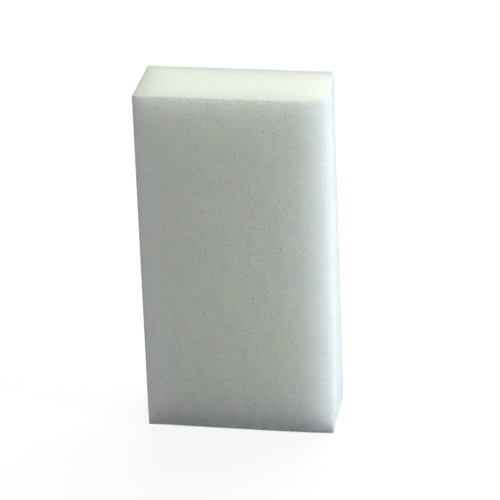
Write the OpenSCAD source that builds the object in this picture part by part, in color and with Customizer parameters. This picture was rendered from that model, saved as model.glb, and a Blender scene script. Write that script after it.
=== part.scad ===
// Nail buffer block
// A bar of white foam with an abrasive sheet bonded to each of its four long faces.
// Each sheet is a coat of grit on a thin film, held to the foam by a film of glue.
// Both ends are bare cut foam, flush with the cut edges of the sheets.
// The block stands on one end: X runs from left to right, Y from front to back, Z up.

/* [Foam core] */
// Width of the foam core, from its left face to its right face
core_w = 49; // [20:0.5:80]
// Depth of the foam core, from its front face to its back face
core_d = 20; // [8:0.5:40]
// Height of the block, from one cut end to the other
block_h = 95; // [40:0.5:150]

/* [Abrasive sheets] */
// Thickness of the glue film between the foam and a sheet
glue_t = 0.1; // [0.05:0.01:0.3]
// Thickness of the backing film that carries the grit
film_t = 0.2; // [0.1:0.01:0.5]
// Thickness of the grit coat on the broad sheets, front and back
broad_grit_t = 0.2; // [0.1:0.01:0.6]
// Thickness of the grit coat on the narrow sheets, left and right
side_grit_t = 0.2; // [0.1:0.01:0.6]

/* [Hidden] */

// Height of each layer's inner face above the foam
film_rise = glue_t;
grit_rise = glue_t + film_t;

// The broad sheets are as wide as the foam, and the side sheets then cover their cut edges
broad_sheet_t = grit_rise + broad_grit_t;
side_sheet_d = core_d + 2 * broad_sheet_t;

foam_colour = [0.93, 0.95, 0.91];
glue_colour = [0.85, 0.87, 0.79];
film_colour = [0.88, 0.92, 0.92];
grit_colour = [0.90, 0.92, 0.90];

// One layer over the front of the foam, its inner face at the given rise above it
module front_layer(rise, thickness) {
    translate([-core_w / 2, -core_d / 2 - rise - thickness, 0])
        cube([core_w, thickness, block_h]);
}

// The same layer over the back of the foam
module back_layer(rise, thickness) {
    mirror([0, 1, 0])
        front_layer(rise, thickness);
}

// One layer over the left of the foam and the left edges of both broad sheets
module left_layer(rise, thickness) {
    translate([-core_w / 2 - rise - thickness, -side_sheet_d / 2, 0])
        cube([thickness, side_sheet_d, block_h]);
}

// The same layer over the right
module right_layer(rise, thickness) {
    mirror([1, 0, 0])
        left_layer(rise, thickness);
}

// Bar of closed-cell foam that gives the block its shape and its spring
module foam_core() {
    color(foam_colour)
        translate([-core_w / 2, -core_d / 2, 0])
            cube([core_w, core_d, block_h]);
}

// Front sheet
module front_glue_film() {
    color(glue_colour)
        front_layer(0, glue_t);
}

module front_backing_film() {
    color(film_colour)
        front_layer(film_rise, film_t);
}

module front_grit_coat() {
    color(grit_colour)
        front_layer(grit_rise, broad_grit_t);
}

// Back sheet
module back_glue_film() {
    color(glue_colour)
        back_layer(0, glue_t);
}

module back_backing_film() {
    color(film_colour)
        back_layer(film_rise, film_t);
}

module back_grit_coat() {
    color(grit_colour)
        back_layer(grit_rise, broad_grit_t);
}

// Left sheet
module left_glue_film() {
    color(glue_colour)
        left_layer(0, glue_t);
}

module left_backing_film() {
    color(film_colour)
        left_layer(film_rise, film_t);
}

module left_grit_coat() {
    color(grit_colour)
        left_layer(grit_rise, side_grit_t);
}

// Right sheet
module right_glue_film() {
    color(glue_colour)
        right_layer(0, glue_t);
}

module right_backing_film() {
    color(film_colour)
        right_layer(film_rise, film_t);
}

module right_grit_coat() {
    color(grit_colour)
        right_layer(grit_rise, side_grit_t);
}

foam_core();
front_glue_film();
front_backing_film();
front_grit_coat();
back_glue_film();
back_backing_film();
back_grit_coat();
left_glue_film();
left_backing_film();
left_grit_coat();
right_glue_film();
right_backing_film();
right_grit_coat();
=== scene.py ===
"""Looks of a white nail buffer block that stands on one cut end."""
import math

import bmesh
import bpy
import numpy as np
from mathutils import Euler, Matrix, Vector, noise


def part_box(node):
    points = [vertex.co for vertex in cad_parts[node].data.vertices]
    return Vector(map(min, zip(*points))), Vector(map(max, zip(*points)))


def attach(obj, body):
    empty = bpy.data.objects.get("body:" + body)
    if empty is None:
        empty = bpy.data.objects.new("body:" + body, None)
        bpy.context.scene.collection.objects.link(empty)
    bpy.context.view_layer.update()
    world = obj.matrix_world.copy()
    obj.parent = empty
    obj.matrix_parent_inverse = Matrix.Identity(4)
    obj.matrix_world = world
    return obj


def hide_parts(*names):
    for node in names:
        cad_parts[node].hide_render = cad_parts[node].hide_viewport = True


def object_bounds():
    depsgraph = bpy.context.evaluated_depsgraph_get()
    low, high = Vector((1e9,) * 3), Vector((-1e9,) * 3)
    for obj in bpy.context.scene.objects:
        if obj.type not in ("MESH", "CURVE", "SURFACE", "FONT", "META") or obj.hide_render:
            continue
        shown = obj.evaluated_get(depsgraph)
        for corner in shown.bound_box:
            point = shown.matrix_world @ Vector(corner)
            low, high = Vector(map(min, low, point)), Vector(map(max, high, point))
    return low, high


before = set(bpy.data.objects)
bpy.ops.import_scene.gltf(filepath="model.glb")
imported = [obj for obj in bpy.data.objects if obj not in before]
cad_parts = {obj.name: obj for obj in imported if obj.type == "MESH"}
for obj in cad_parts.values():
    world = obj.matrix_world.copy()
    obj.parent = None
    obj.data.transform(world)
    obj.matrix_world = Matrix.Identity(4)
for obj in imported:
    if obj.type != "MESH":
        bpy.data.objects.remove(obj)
cad_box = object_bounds()

MM = 0.001
BODY = "root"

# Camera: where it looks, from how far, how it is turned, and the nearest thing that it sees
CAMERA_AIM = Vector((-1.08, 18.61, 39.03)) * MM
CAMERA_DISTANCE = 664.8 * MM
CAMERA_AZIMUTH = math.radians(9.98)
CAMERA_ELEVATION = math.radians(25.94)
CAMERA_ROLL = math.radians(-1.79)
CAMERA_LENS_MM = 177.2
CAMERA_NEAR = 10 * MM

# Block: its box, its foam, and the faces that carry a sheet, as an axis and a direction
BLOCK_LOW, BLOCK_HIGH = (np.array(corner) for corner in cad_box)
CORE_LOW, CORE_HIGH = (np.array(corner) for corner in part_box("foam_core"))
CENTRE = (BLOCK_LOW + BLOCK_HIGH) / 2
HALF = (BLOCK_HIGH - BLOCK_LOW) / 2
SHEET = BLOCK_HIGH[1] - CORE_HIGH[1]
FACES = {
    "front": (1, -1),
    "back": (1, 1),
    "left": (0, -1),
    "right": (0, 1),
}
BROAD_FACES = ("front", "back")

# Rounding: of the long edges, of the soft front right one at its two ends, and around the block's two ends
SIDE_ROUND = 0.5 * MM
SOFT_TOP = 1.2 * MM
SOFT_FOOT = 0.5 * MM
TOP_ROUND = 0.18 * MM
FOOT_ROUND = 0.2 * MM

# Sheets pressed thin where they were cut along the long edges: from how far, and by how much at most
PRESS_REACH = 6.0 * MM
PRESS_SHARE = 0.9

# Cut out of square: how far the right side runs in towards its top back corner, and how far the front falls
# back to the two ends of its right edge
LEAN = 1.5 * MM
FALL_TOP = 1.5 * MM
FALL_FOOT = 0.9 * MM
FALL_REACH = 8.0 * MM
FALL_CURVE = 2.0

# Meshes: grid sizes, the closer lines by the edges, the gap that keeps layers apart, the gap that is closed
# between a piece's own faces, and the angle past which an edge stays sharp
GRIT_STEP = 0.5 * MM
FOAM_STEP = 0.3 * MM
PLAIN_STEP = 12 * MM
EDGE_LINES = np.array([0.12, 0.25, 0.4, 0.6, 0.8, 1.0, 1.3, 1.7, 2.3, 3.0]) * MM
LAYER_GAP = 0.008 * MM
MERGE_GAP = 0.001 * MM
SHARP_ANGLE = math.radians(50)

# Relief: the grain of the grit, and the pits at the cut ends, whose radius is a share of their spacing
GRAIN_SIZE = 0.55 * MM
GRAIN_HEIGHT = 0.014 * MM
PIT_SPACING = 0.7 * MM
PIT_RADIUS = 0.625
PIT_DEPTH = 0.03 * MM

# Ranges and colours that more than one material uses. Most of a noise lies within NOISE_RANGE.
UNIT = (0.0, 1.0)
NOISE_RANGE = (0.3, 0.7)
WHITE = (1, 1, 1, 1)

# Foam: its colours, its fine cells from middle to wall, its mottling and its bump, which like the others is
# a height and a strength
FOAM_COLOUR = (0.875, 0.885, 0.80, 1)
CELL_COLOUR = (0.81, 0.82, 0.735, 1)
CELL_SIZE = 0.4 * MM
CELL_RANGE = (0.1, 0.6)
MOTTLE_SIZE = 2.6 * MM
MOTTLE_SHARE = 0.16
FOAM_SPECULAR = 0.0
FOAM_ROUGHNESS = (0.95, 0.8)
FOAM_BUMP = (0.02 * MM, 0.5)

# Light in the foam: how far it goes, and what share soaks in, which is less along edges pressed shut
LIGHT_REACH = 20.0 * MM
LIGHT_SHARE = 1.0
SHUT_SHARE = 0.48
SHUT_REACH = 3.0 * MM

# Glue and film: clear layers with faint streaks, which hide very little of the foam
GLUE_COLOUR = (0.74, 0.77, 0.67, 1)
GLUE_ROUGHNESS = (0.3, 0.5)
FILM_COLOUR = (0.74, 0.78, 0.72, 1)
FILM_ROUGHNESS = (0.2, 0.4)
STREAK_SIZE = 1.2 * MM
CLEAR = 0.01
SHEET_SPECULAR = 0.2

# Grit: the colours of its grains, how much of the foam they hide at the thinnest and the thickest, how much
# of the coat is missing along the long edges, and how strongly it is tinted
BROAD_GRIT = {
    "pale": (0.97, 0.97, 0.94, 1),
    "dark": (0.34, 0.36, 0.33, 1),
    "cover": (0.02, 0.32),
    "thinning": 0.7,
    "tinting": 0.78,
}
SIDE_GRIT = {
    "pale": (0.79, 0.81, 0.77, 1),
    "dark": (0.67, 0.69, 0.65, 1),
    "cover": (0.65, 0.75),
    "thinning": 0.0,
    "tinting": 0.05,
}
THIN_REACH = 10.0 * MM
GRIT_SIZE = 0.36 * MM
CLUMP_SIZE = 0.6 * MM
TINT_SIZE = 1.6 * MM
GRIT_ROUGHNESS = (0.9, 0.6)
GRIT_BUMP = (0.03 * MM, 0.6)

# Wear of the grit, in patches along all the edges
WEAR_REACH = 1.2 * MM
WEAR_SHARE = 0.35
WEAR_PATCH = 1.5 * MM
WEAR_RANGE = (0.35, 0.65)

# Rims, which are the cut edges of the layers, with specks
GRIT_RIM_COLOUR = (0.72, 0.74, 0.70, 1)
GRIT_SPECK = 0.2 * MM
GLUE_SPECK = 0.3 * MM
FILM_SPECK = 0.5 * MM
RIM_SPECULAR = 0.1
RIM_ROUGHNESS = (0.95, 0.75)
RIM_BUMP = (0.02 * MM, 0.5)

# Studio, in metres and watts
WORLD_LEVEL = 0.33
KEY_POWER = 0.77
KEY_PLACE = (0.3, -0.065, 0.06)
KEY_SIZE = (0.09, 0.15)
KEY_COLOUR = (0.905, 1.015, 1.18)
TOP_POWER = 4.85
TOP_PLACE = (0.1, 0.4, 0.7)
TOP_SIZE = (0.6, 0.6)
TOP_COLOUR = (0.92, 1.0, 0.89)
FLOOR_HALF = 3.0
FLOOR_DROP = 0.02 * MM
FLOOR_COLOUR = (0.2, 0.2, 0.2, 1)
FLOOR_SPECULAR = 0.0
FLOOR_ROUGHNESS = 1.0
FLOOR_GLOW = 0.83

# Material slots of a layer, and the sockets of a Mix node that mixes colours
OUTER, RIM, INNER = range(3)
MIX_SHARE, MIX_FIRST, MIX_SECOND = 0, 6, 7
MIX_RESULT = 2


def smooth_step(x):
    """A curve that rises from 0 to 1 as x does, level at both ends."""
    x = np.clip(x, 0, 1)
    return x * x * (3 - 2 * x)


def between(low, high, share):
    """The value at a share of the way from low to high."""
    return low + (high - low) * share


def grid_lines(low, high, step):
    """Values from low to high, about a step apart, with closer ones by both ends."""
    near = [low, *(low + EDGE_LINES)]
    far = [*(high - EDGE_LINES[::-1]), high]
    inner = np.linspace(near[-1], far[0], max(2, round((far[0] - near[-1]) / step) + 1))
    return np.concatenate([near, inner[1:-1], far])


def pressed(points):
    """The points with the sheets pressed thin towards the four long edges of the block."""
    side = np.sign(points - CENTRE)
    depth = HALF - np.abs(points - CENTRE)
    across = depth[:, :2]
    thin = 1 - smooth_step(across / PRESS_REACH)
    inside = across * (1 - smooth_step((across - SHEET) / PRESS_REACH))
    depth[:, :2] = across - PRESS_SHARE * thin[:, ::-1] * inside
    return CENTRE + side * (HALF - depth)


def rounding(first, second):
    """What brings a point at these shares of a square corner's two sides onto a round one."""
    length = np.hypot(first, second)
    return np.divide(np.maximum(first, second), length, out=np.ones_like(length), where=length > 0)


def eased(points):
    """The points with the block's edges rounded off: those of its two ends, then the long ones."""
    offset = points - CENTRE
    reach = np.abs(offset)
    end_round = np.where(offset[:, 2:] < 0, FOOT_ROUND, TOP_ROUND)
    past = np.maximum((reach - HALF) / end_round + 1, 0)
    across = past[:, :2].max(axis=1, keepdims=True)
    reach -= end_round * past * (1 - rounding(across, past[:, 2:]))
    soft = (offset[:, :1] > 0) & (offset[:, 1:2] < 0)
    height = (offset[:, 2:] / HALF[2] + 1) / 2
    long_round = np.where(soft, between(SOFT_FOOT, SOFT_TOP, height), SIDE_ROUND)
    past = np.maximum((reach[:, :2] - HALF[:2]) / long_round + 1, 0)
    reach[:, :2] -= long_round * past * (1 - rounding(past[:, :1], past[:, 1:]))
    return CENTRE + np.sign(offset) * reach


def leaned(points):
    """The points with the right side run in at its top back and the front fallen back at its right."""
    share = (points - BLOCK_LOW) / (BLOCK_HIGH - BLOCK_LOW)
    near = np.clip(1 - (BLOCK_HIGH[0] - points[:, 0]) / FALL_REACH, 0, 1)
    fall = between(FALL_FOOT, FALL_TOP, share[:, 2])
    points[:, 0] -= LEAN * share.prod(axis=1)
    points[:, 1] += fall * near ** FALL_CURVE * (1 - share[:, 1])
    return points


def as_cut(points):
    """The points of the square block brought to the shape that it was cut to."""
    return leaned(eased(pressed(points)))


def edge_share(points, axes, reach):
    """How near the points are to an edge where faces across two of the first axes meet.

    It is 1 on the edge and 0 past the reach.
    """
    depth = np.sort((HALF - np.abs(points - CENTRE))[:, :axes], axis=1)
    return 1 - smooth_step(depth[:, 1] / reach)


def shut_share(points):
    """How near the points are to an edge where the cut pressed the foam's cells shut.

    That is any edge but the front and back ones of the top. It is 1 on the edge and 0 past the reach.
    """
    x, y, z = (HALF - np.abs(points - CENTRE)).T
    foot = points[:, 2] - BLOCK_LOW[2]
    depth = np.minimum(np.maximum(x, np.minimum(y, z)), np.maximum(y, foot))
    return 1 - smooth_step(depth / SHUT_REACH)


def ripple(points, size):
    """Smooth noise of about -1 to 1 at the points, in lumps of the given size."""
    return np.array([noise.noise(Vector(point) / size) for point in points])


def pits(points, spacing):
    """Round pits at about the given spacing: 1 at the middle of each and 0 between them."""
    nearest = [noise.voronoi(Vector(point) / spacing)[0][0] for point in points]
    return np.clip(1 - np.array(nearest) / PIT_RADIUS, 0, 1)


def box_grid(lines, face_slot):
    """The points, quads and material slots of a box with a grid on each face.

    face_slot gives a face's material slot from its axis and end.
    """
    points = []
    quads = []
    slots = []
    for axis in range(3):
        u, v = [a for a in range(3) if a != axis]
        size = len(lines[u]), len(lines[v])
        for end in (0, -1):
            grid = np.zeros((*size, 3))
            grid[..., u] = lines[u][:, None]
            grid[..., v] = lines[v][None, :]
            grid[..., axis] = lines[axis][end]
            ids = sum(len(p) for p in points) + np.arange(size[0] * size[1]).reshape(size)
            points.append(grid.reshape(-1, 3))
            around = [ids[:-1, :-1], ids[1:, :-1], ids[1:, 1:], ids[:-1, 1:]]
            outward = (end == -1) == (axis != 1)
            quads.append(np.stack(around if outward else around[::-1], -1).reshape(-1, 4))
            slots += [face_slot(axis, end)] * len(quads[-1])
    return np.concatenate(points), np.concatenate(quads), slots


def close_seams(mesh):
    """Joins the faces of a mesh where their points meet."""
    work = bmesh.new()
    work.from_mesh(mesh)
    bmesh.ops.remove_doubles(work, verts=work.verts, dist=MERGE_GAP)
    work.to_mesh(mesh)
    work.free()


def box_piece(name, lines, face_slot, shape):
    """A closed box with a grid on each face, marked along the block's edges and then shaped."""
    points, quads, slots = box_grid(lines, face_slot)
    mesh = bpy.data.meshes.new(name)
    mesh.from_pydata(points.tolist(), [], quads.tolist())
    mesh.polygons.foreach_set("material_index", slots)
    close_seams(mesh)
    flat = np.empty(len(mesh.vertices) * 3, np.float32)
    mesh.vertices.foreach_get("co", flat)
    square = flat.reshape(-1, 3).astype(float)
    marks = {
        "edge": edge_share(square, 3, WEAR_REACH),
        "long_edge": edge_share(square, 2, THIN_REACH),
        "shut": shut_share(square),
    }
    for label, values in marks.items():
        mesh.attributes.new(label, "FLOAT", "POINT").data.foreach_set("value", values)
    mesh.vertices.foreach_set("co", shape(square).ravel())
    mesh.shade_smooth()
    mesh.set_sharp_from_angle(angle=SHARP_ANGLE)
    mesh.update()
    piece = bpy.data.objects.new(name, mesh)
    bpy.context.collection.objects.link(piece)
    return piece


def add_layer(node, face, materials, step, grain=0.0):
    """A layer of a sheet in the place of its node, through which light passes to the foam.

    materials are for its outer face, its rim and its inner face.
    """
    axis, side = FACES[face]
    low, high = (np.array(corner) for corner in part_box(node))
    low[axis] += LAYER_GAP
    high[axis] -= LAYER_GAP
    lines = [
        np.array([low[a], high[a]]) if a == axis else grid_lines(low[a], high[a], step)
        for a in range(3)
    ]
    outer_end = -1 if side > 0 else 0

    def face_slot(face_axis, end):
        if face_axis != axis:
            return RIM
        return OUTER if end == outer_end else INNER

    def shape(points):
        if grain:
            outer = np.abs(points[:, axis] - lines[axis][outer_end]) < LAYER_GAP
            points[outer, axis] -= side * grain * (1 + ripple(points[outer], GRAIN_SIZE))
        return as_cut(points)

    piece = box_piece(node + "_look", lines, face_slot, shape)
    for material in materials:
        piece.data.materials.append(material)
    piece.visible_shadow = False
    piece.visible_diffuse = False
    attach(piece, BODY)
    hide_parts(node)


def add_core(material):
    """The foam block, with its cells cut open at both ends."""
    low, high = CORE_LOW.copy(), CORE_HIGH.copy()
    low[:2] += LAYER_GAP
    high[:2] -= LAYER_GAP
    steps = (FOAM_STEP, FOAM_STEP, PLAIN_STEP)
    lines = [grid_lines(low[a], high[a], steps[a]) for a in range(3)]

    def shape(points):
        for end, way in ((low[2], 1), (high[2], -1)):
            cut = np.abs(points[:, 2] - end) < LAYER_GAP
            points[cut, 2] += way * PIT_DEPTH * pits(points[cut], PIT_SPACING)
        return as_cut(points)

    piece = box_piece("foam_core_look", lines, lambda axis, end: OUTER, shape)
    piece.data.materials.append(material)
    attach(piece, BODY)
    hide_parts("foam_core")


def new_material(name, specular):
    """A new material, its node tree and its shader."""
    material = bpy.data.materials.new(name)
    material.use_nodes = True
    shader = material.node_tree.nodes["Principled BSDF"]
    shader.inputs["Specular IOR Level"].default_value = specular
    return material, material.node_tree, shader


def object_place(tree):
    """The point on the object, in metres."""
    return tree.nodes.new("ShaderNodeTexCoord").outputs["Object"]


def noise_texture(tree, size, detail=2.0, roughness=0.5):
    """A smooth noise in lumps of the given size."""
    node = tree.nodes.new("ShaderNodeTexNoise")
    node.inputs["Scale"].default_value = 1 / size
    node.inputs["Detail"].default_value = detail
    node.inputs["Roughness"].default_value = roughness
    tree.links.new(object_place(tree), node.inputs["Vector"])
    return node


def cell_texture(tree, size):
    """A pattern of cells of the given size."""
    node = tree.nodes.new("ShaderNodeTexVoronoi")
    node.inputs["Scale"].default_value = 1 / size
    tree.links.new(object_place(tree), node.inputs["Vector"])
    return node


def span(tree, value, source, target):
    """The value carried from one range to another, and held at its ends."""
    node = tree.nodes.new("ShaderNodeMapRange")
    ends = dict(zip(("From Min", "From Max", "To Min", "To Max"), (*source, *target)))
    for name, end in ends.items():
        node.inputs[name].default_value = end
    tree.links.new(value, node.inputs["Value"])
    return node.outputs["Result"]


def mix_colours(tree, share, first, second, blend="MIX"):
    """Two colours mixed. Each is a colour or a socket, and share is a number or a socket."""
    node = tree.nodes.new("ShaderNodeMix")
    node.data_type = "RGBA"
    node.blend_type = blend
    node.clamp_result = True
    for index, value in ((MIX_SHARE, share), (MIX_FIRST, first), (MIX_SECOND, second)):
        if isinstance(value, bpy.types.NodeSocket):
            tree.links.new(value, node.inputs[index])
        else:
            node.inputs[index].default_value = value
    return node.outputs[MIX_RESULT]


def combine(tree, operation, first, second):
    """Two value sockets joined by a Math operation."""
    node = tree.nodes.new("ShaderNodeMath")
    node.operation = operation
    tree.links.new(first, node.inputs[0])
    tree.links.new(second, node.inputs[1])
    return node.outputs[0]


def add_bump(tree, shader, height, distance, strength, invert=False):
    """Fine relief on the shader, at most as high as the distance."""
    node = tree.nodes.new("ShaderNodeBump")
    node.invert = invert
    node.inputs["Distance"].default_value = distance
    node.inputs["Strength"].default_value = strength
    tree.links.new(height, node.inputs["Height"])
    tree.links.new(node.outputs["Normal"], shader.inputs["Normal"])


def attribute(tree, name):
    """A mark that box_piece left on the mesh."""
    node = tree.nodes.new("ShaderNodeAttribute")
    node.attribute_name = name
    return node.outputs["Fac"]


def worn(tree):
    """How worn a surface is: up to 1 in patches along the block's edges, and 0 away from them."""
    lumps = noise_texture(tree, WEAR_PATCH, detail=3.0, roughness=0.7).outputs["Fac"]
    patches = span(tree, lumps, WEAR_RANGE, UNIT)
    return combine(tree, "MULTIPLY", attribute(tree, "edge"), patches)


def foam_material():
    """White foam that light soaks into, with fine cells and a faint mottling."""
    material, tree, shader = new_material("foam", FOAM_SPECULAR)
    cells = cell_texture(tree, CELL_SIZE).outputs["Distance"]
    walls = span(tree, cells, CELL_RANGE, UNIT)
    colour = mix_colours(tree, walls, CELL_COLOUR, FOAM_COLOUR)
    mottle = noise_texture(tree, MOTTLE_SIZE, detail=0.0).outputs["Color"]
    colour = mix_colours(tree, MOTTLE_SHARE, colour, mottle, "SOFT_LIGHT")
    tree.links.new(colour, shader.inputs["Base Color"])
    tree.links.new(span(tree, cells, CELL_RANGE, FOAM_ROUGHNESS), shader.inputs["Roughness"])
    soaked = span(tree, attribute(tree, "shut"), UNIT, (LIGHT_SHARE, SHUT_SHARE))
    tree.links.new(soaked, shader.inputs["Subsurface Weight"])
    shader.inputs["Subsurface Radius"].default_value = (1, 1, 1)
    shader.inputs["Subsurface Scale"].default_value = LIGHT_REACH
    add_bump(tree, shader, walls, *FOAM_BUMP)
    return material


def grit_material(name, pale, dark, cover, thinning, tinting):
    """A coat of fine grains that the foam shows through, thin along the long edges and worn in places."""
    material, tree, shader = new_material(name, SHEET_SPECULAR)
    grains = cell_texture(tree, GRIT_SIZE)
    clumps = noise_texture(tree, CLUMP_SIZE, detail=3.0, roughness=0.6).outputs["Fac"]
    colour = mix_colours(tree, grains.outputs["Color"], dark, pale)
    tint = noise_texture(tree, TINT_SIZE, detail=1.0).outputs["Color"]
    colour = mix_colours(tree, tinting, colour, tint, "LINEAR_LIGHT")
    tree.links.new(colour, shader.inputs["Base Color"])
    coat = span(tree, clumps, NOISE_RANGE, cover)
    left_by_cut = span(tree, attribute(tree, "long_edge"), UNIT, (1, 1 - thinning))
    coat = combine(tree, "MULTIPLY", coat, left_by_cut)
    left_by_wear = span(tree, worn(tree), UNIT, (1, 1 - WEAR_SHARE))
    coat = combine(tree, "MULTIPLY", coat, left_by_wear)
    tree.links.new(coat, shader.inputs["Alpha"])
    tree.links.new(span(tree, clumps, NOISE_RANGE, GRIT_ROUGHNESS), shader.inputs["Roughness"])
    add_bump(tree, shader, grains.outputs["Distance"], *GRIT_BUMP, invert=True)
    return material


def clear_material(name, colour, roughness):
    """A clear layer whose flat faces all but vanish against the foam."""
    material, tree, shader = new_material(name, SHEET_SPECULAR)
    streaks = noise_texture(tree, STREAK_SIZE).outputs["Fac"]
    tree.links.new(mix_colours(tree, streaks, FOAM_COLOUR, colour), shader.inputs["Base Color"])
    tree.links.new(span(tree, streaks, NOISE_RANGE, roughness), shader.inputs["Roughness"])
    shader.inputs["Alpha"].default_value = CLEAR
    return material


def rim_material(name, colour, size):
    """The cut edge of a layer: matt, with specks of the given size."""
    material, tree, shader = new_material(name, RIM_SPECULAR)
    specks = noise_texture(tree, size, detail=3.0, roughness=0.7).outputs["Fac"]
    shade = span(tree, specks, NOISE_RANGE, UNIT)
    tree.links.new(mix_colours(tree, shade, colour, FOAM_COLOUR), shader.inputs["Base Color"])
    tree.links.new(span(tree, specks, NOISE_RANGE, RIM_ROUGHNESS), shader.inputs["Roughness"])
    add_bump(tree, shader, specks, *RIM_BUMP)
    return material


def add_camera():
    """The camera, turned and tilted about its aim and then rolled."""
    turn = Euler((0, 0, CAMERA_AZIMUTH)).to_matrix()
    tilt = Euler((math.pi / 2 - CAMERA_ELEVATION, 0, 0)).to_matrix()
    roll = Euler((0, 0, CAMERA_ROLL)).to_matrix()
    matrix = (turn @ tilt @ roll).to_4x4()
    matrix.translation = CAMERA_AIM + matrix.to_3x3() @ Vector((0, 0, CAMERA_DISTANCE))
    data = bpy.data.cameras.new("camera")
    data.lens = CAMERA_LENS_MM
    data.clip_start = CAMERA_NEAR
    camera = bpy.data.objects.new("camera", data)
    camera.matrix_world = matrix
    bpy.context.collection.objects.link(camera)
    bpy.context.scene.camera = camera


def add_lamp(name, place, size, power, colour):
    """A flat lamp of a width and height that faces the middle of the block."""
    data = bpy.data.lights.new(name, "AREA")
    data.shape = "RECTANGLE"
    data.size, data.size_y = size
    data.energy = power
    data.color = colour
    lamp = bpy.data.objects.new(name, data)
    lamp.location = place
    lamp.rotation_euler = (Vector(CENTRE) - Vector(place)).to_track_quat("-Z", "Y").to_euler()
    lamp.visible_camera = False
    bpy.context.collection.objects.link(lamp)


def sight_rays(tree):
    """A value that is 1 for what the camera, mirrors and glass see, and 0 for light."""
    path = tree.nodes.new("ShaderNodeLightPath")
    total = path.outputs["Is Camera Ray"]
    for name in ("Is Glossy Ray", "Is Transmission Ray"):
        total = combine(tree, "MAXIMUM", total, path.outputs[name])
    return total


def add_floor():
    """A plain floor that looks white and takes the block's shadow."""
    corners = [(x * FLOOR_HALF, y * FLOOR_HALF, 0) for x, y in ((-1, -1), (1, -1), (1, 1), (-1, 1))]
    mesh = bpy.data.meshes.new("floor")
    mesh.from_pydata(corners, [], [(0, 1, 2, 3)])
    floor = bpy.data.objects.new("floor", mesh)
    floor.location.z = -FLOOR_DROP
    bpy.context.collection.objects.link(floor)
    material, tree, shader = new_material("floor", FLOOR_SPECULAR)
    shader.inputs["Roughness"].default_value = FLOOR_ROUGHNESS
    shader.inputs["Base Color"].default_value = FLOOR_COLOUR
    shader.inputs["Emission Color"].default_value = WHITE
    glow = span(tree, sight_rays(tree), UNIT, (0, FLOOR_GLOW))
    tree.links.new(glow, shader.inputs["Emission Strength"])
    mesh.materials.append(material)


def add_world():
    """Soft light from all round, which looks white where it is seen."""
    world = bpy.data.worlds.new("studio")
    world.use_nodes = True
    tree = world.node_tree
    background = tree.nodes["Background"]
    background.inputs["Color"].default_value = WHITE
    level = span(tree, sight_rays(tree), UNIT, (WORLD_LEVEL, 1))
    tree.links.new(level, background.inputs["Strength"])
    bpy.context.scene.world = world


bpy.context.scene.view_settings.view_transform = "Standard"
add_camera()
add_core(foam_material())

glue = clear_material("glue", GLUE_COLOUR, GLUE_ROUGHNESS)
glue_rim = rim_material("glue_rim", GLUE_COLOUR, GLUE_SPECK)
film = clear_material("film", FILM_COLOUR, FILM_ROUGHNESS)
film_rim = rim_material("film_rim", FILM_COLOUR, FILM_SPECK)
broad_grit = grit_material("broad_grit", **BROAD_GRIT)
side_grit = grit_material("side_grit", **SIDE_GRIT)
grit_rim = rim_material("grit_rim", GRIT_RIM_COLOUR, GRIT_SPECK)
for face in FACES:
    grit = broad_grit if face in BROAD_FACES else side_grit
    add_layer(face + "_glue_film", face, (glue, glue_rim, glue), PLAIN_STEP)
    add_layer(face + "_backing_film", face, (film, film_rim, film), PLAIN_STEP)
    add_layer(face + "_grit_coat", face, (grit, grit_rim, film), GRIT_STEP, GRAIN_HEIGHT)

add_floor()
add_world()
add_lamp("key", KEY_PLACE, KEY_SIZE, KEY_POWER, KEY_COLOUR)
add_lamp("top", TOP_PLACE, TOP_SIZE, TOP_POWER, TOP_COLOUR)
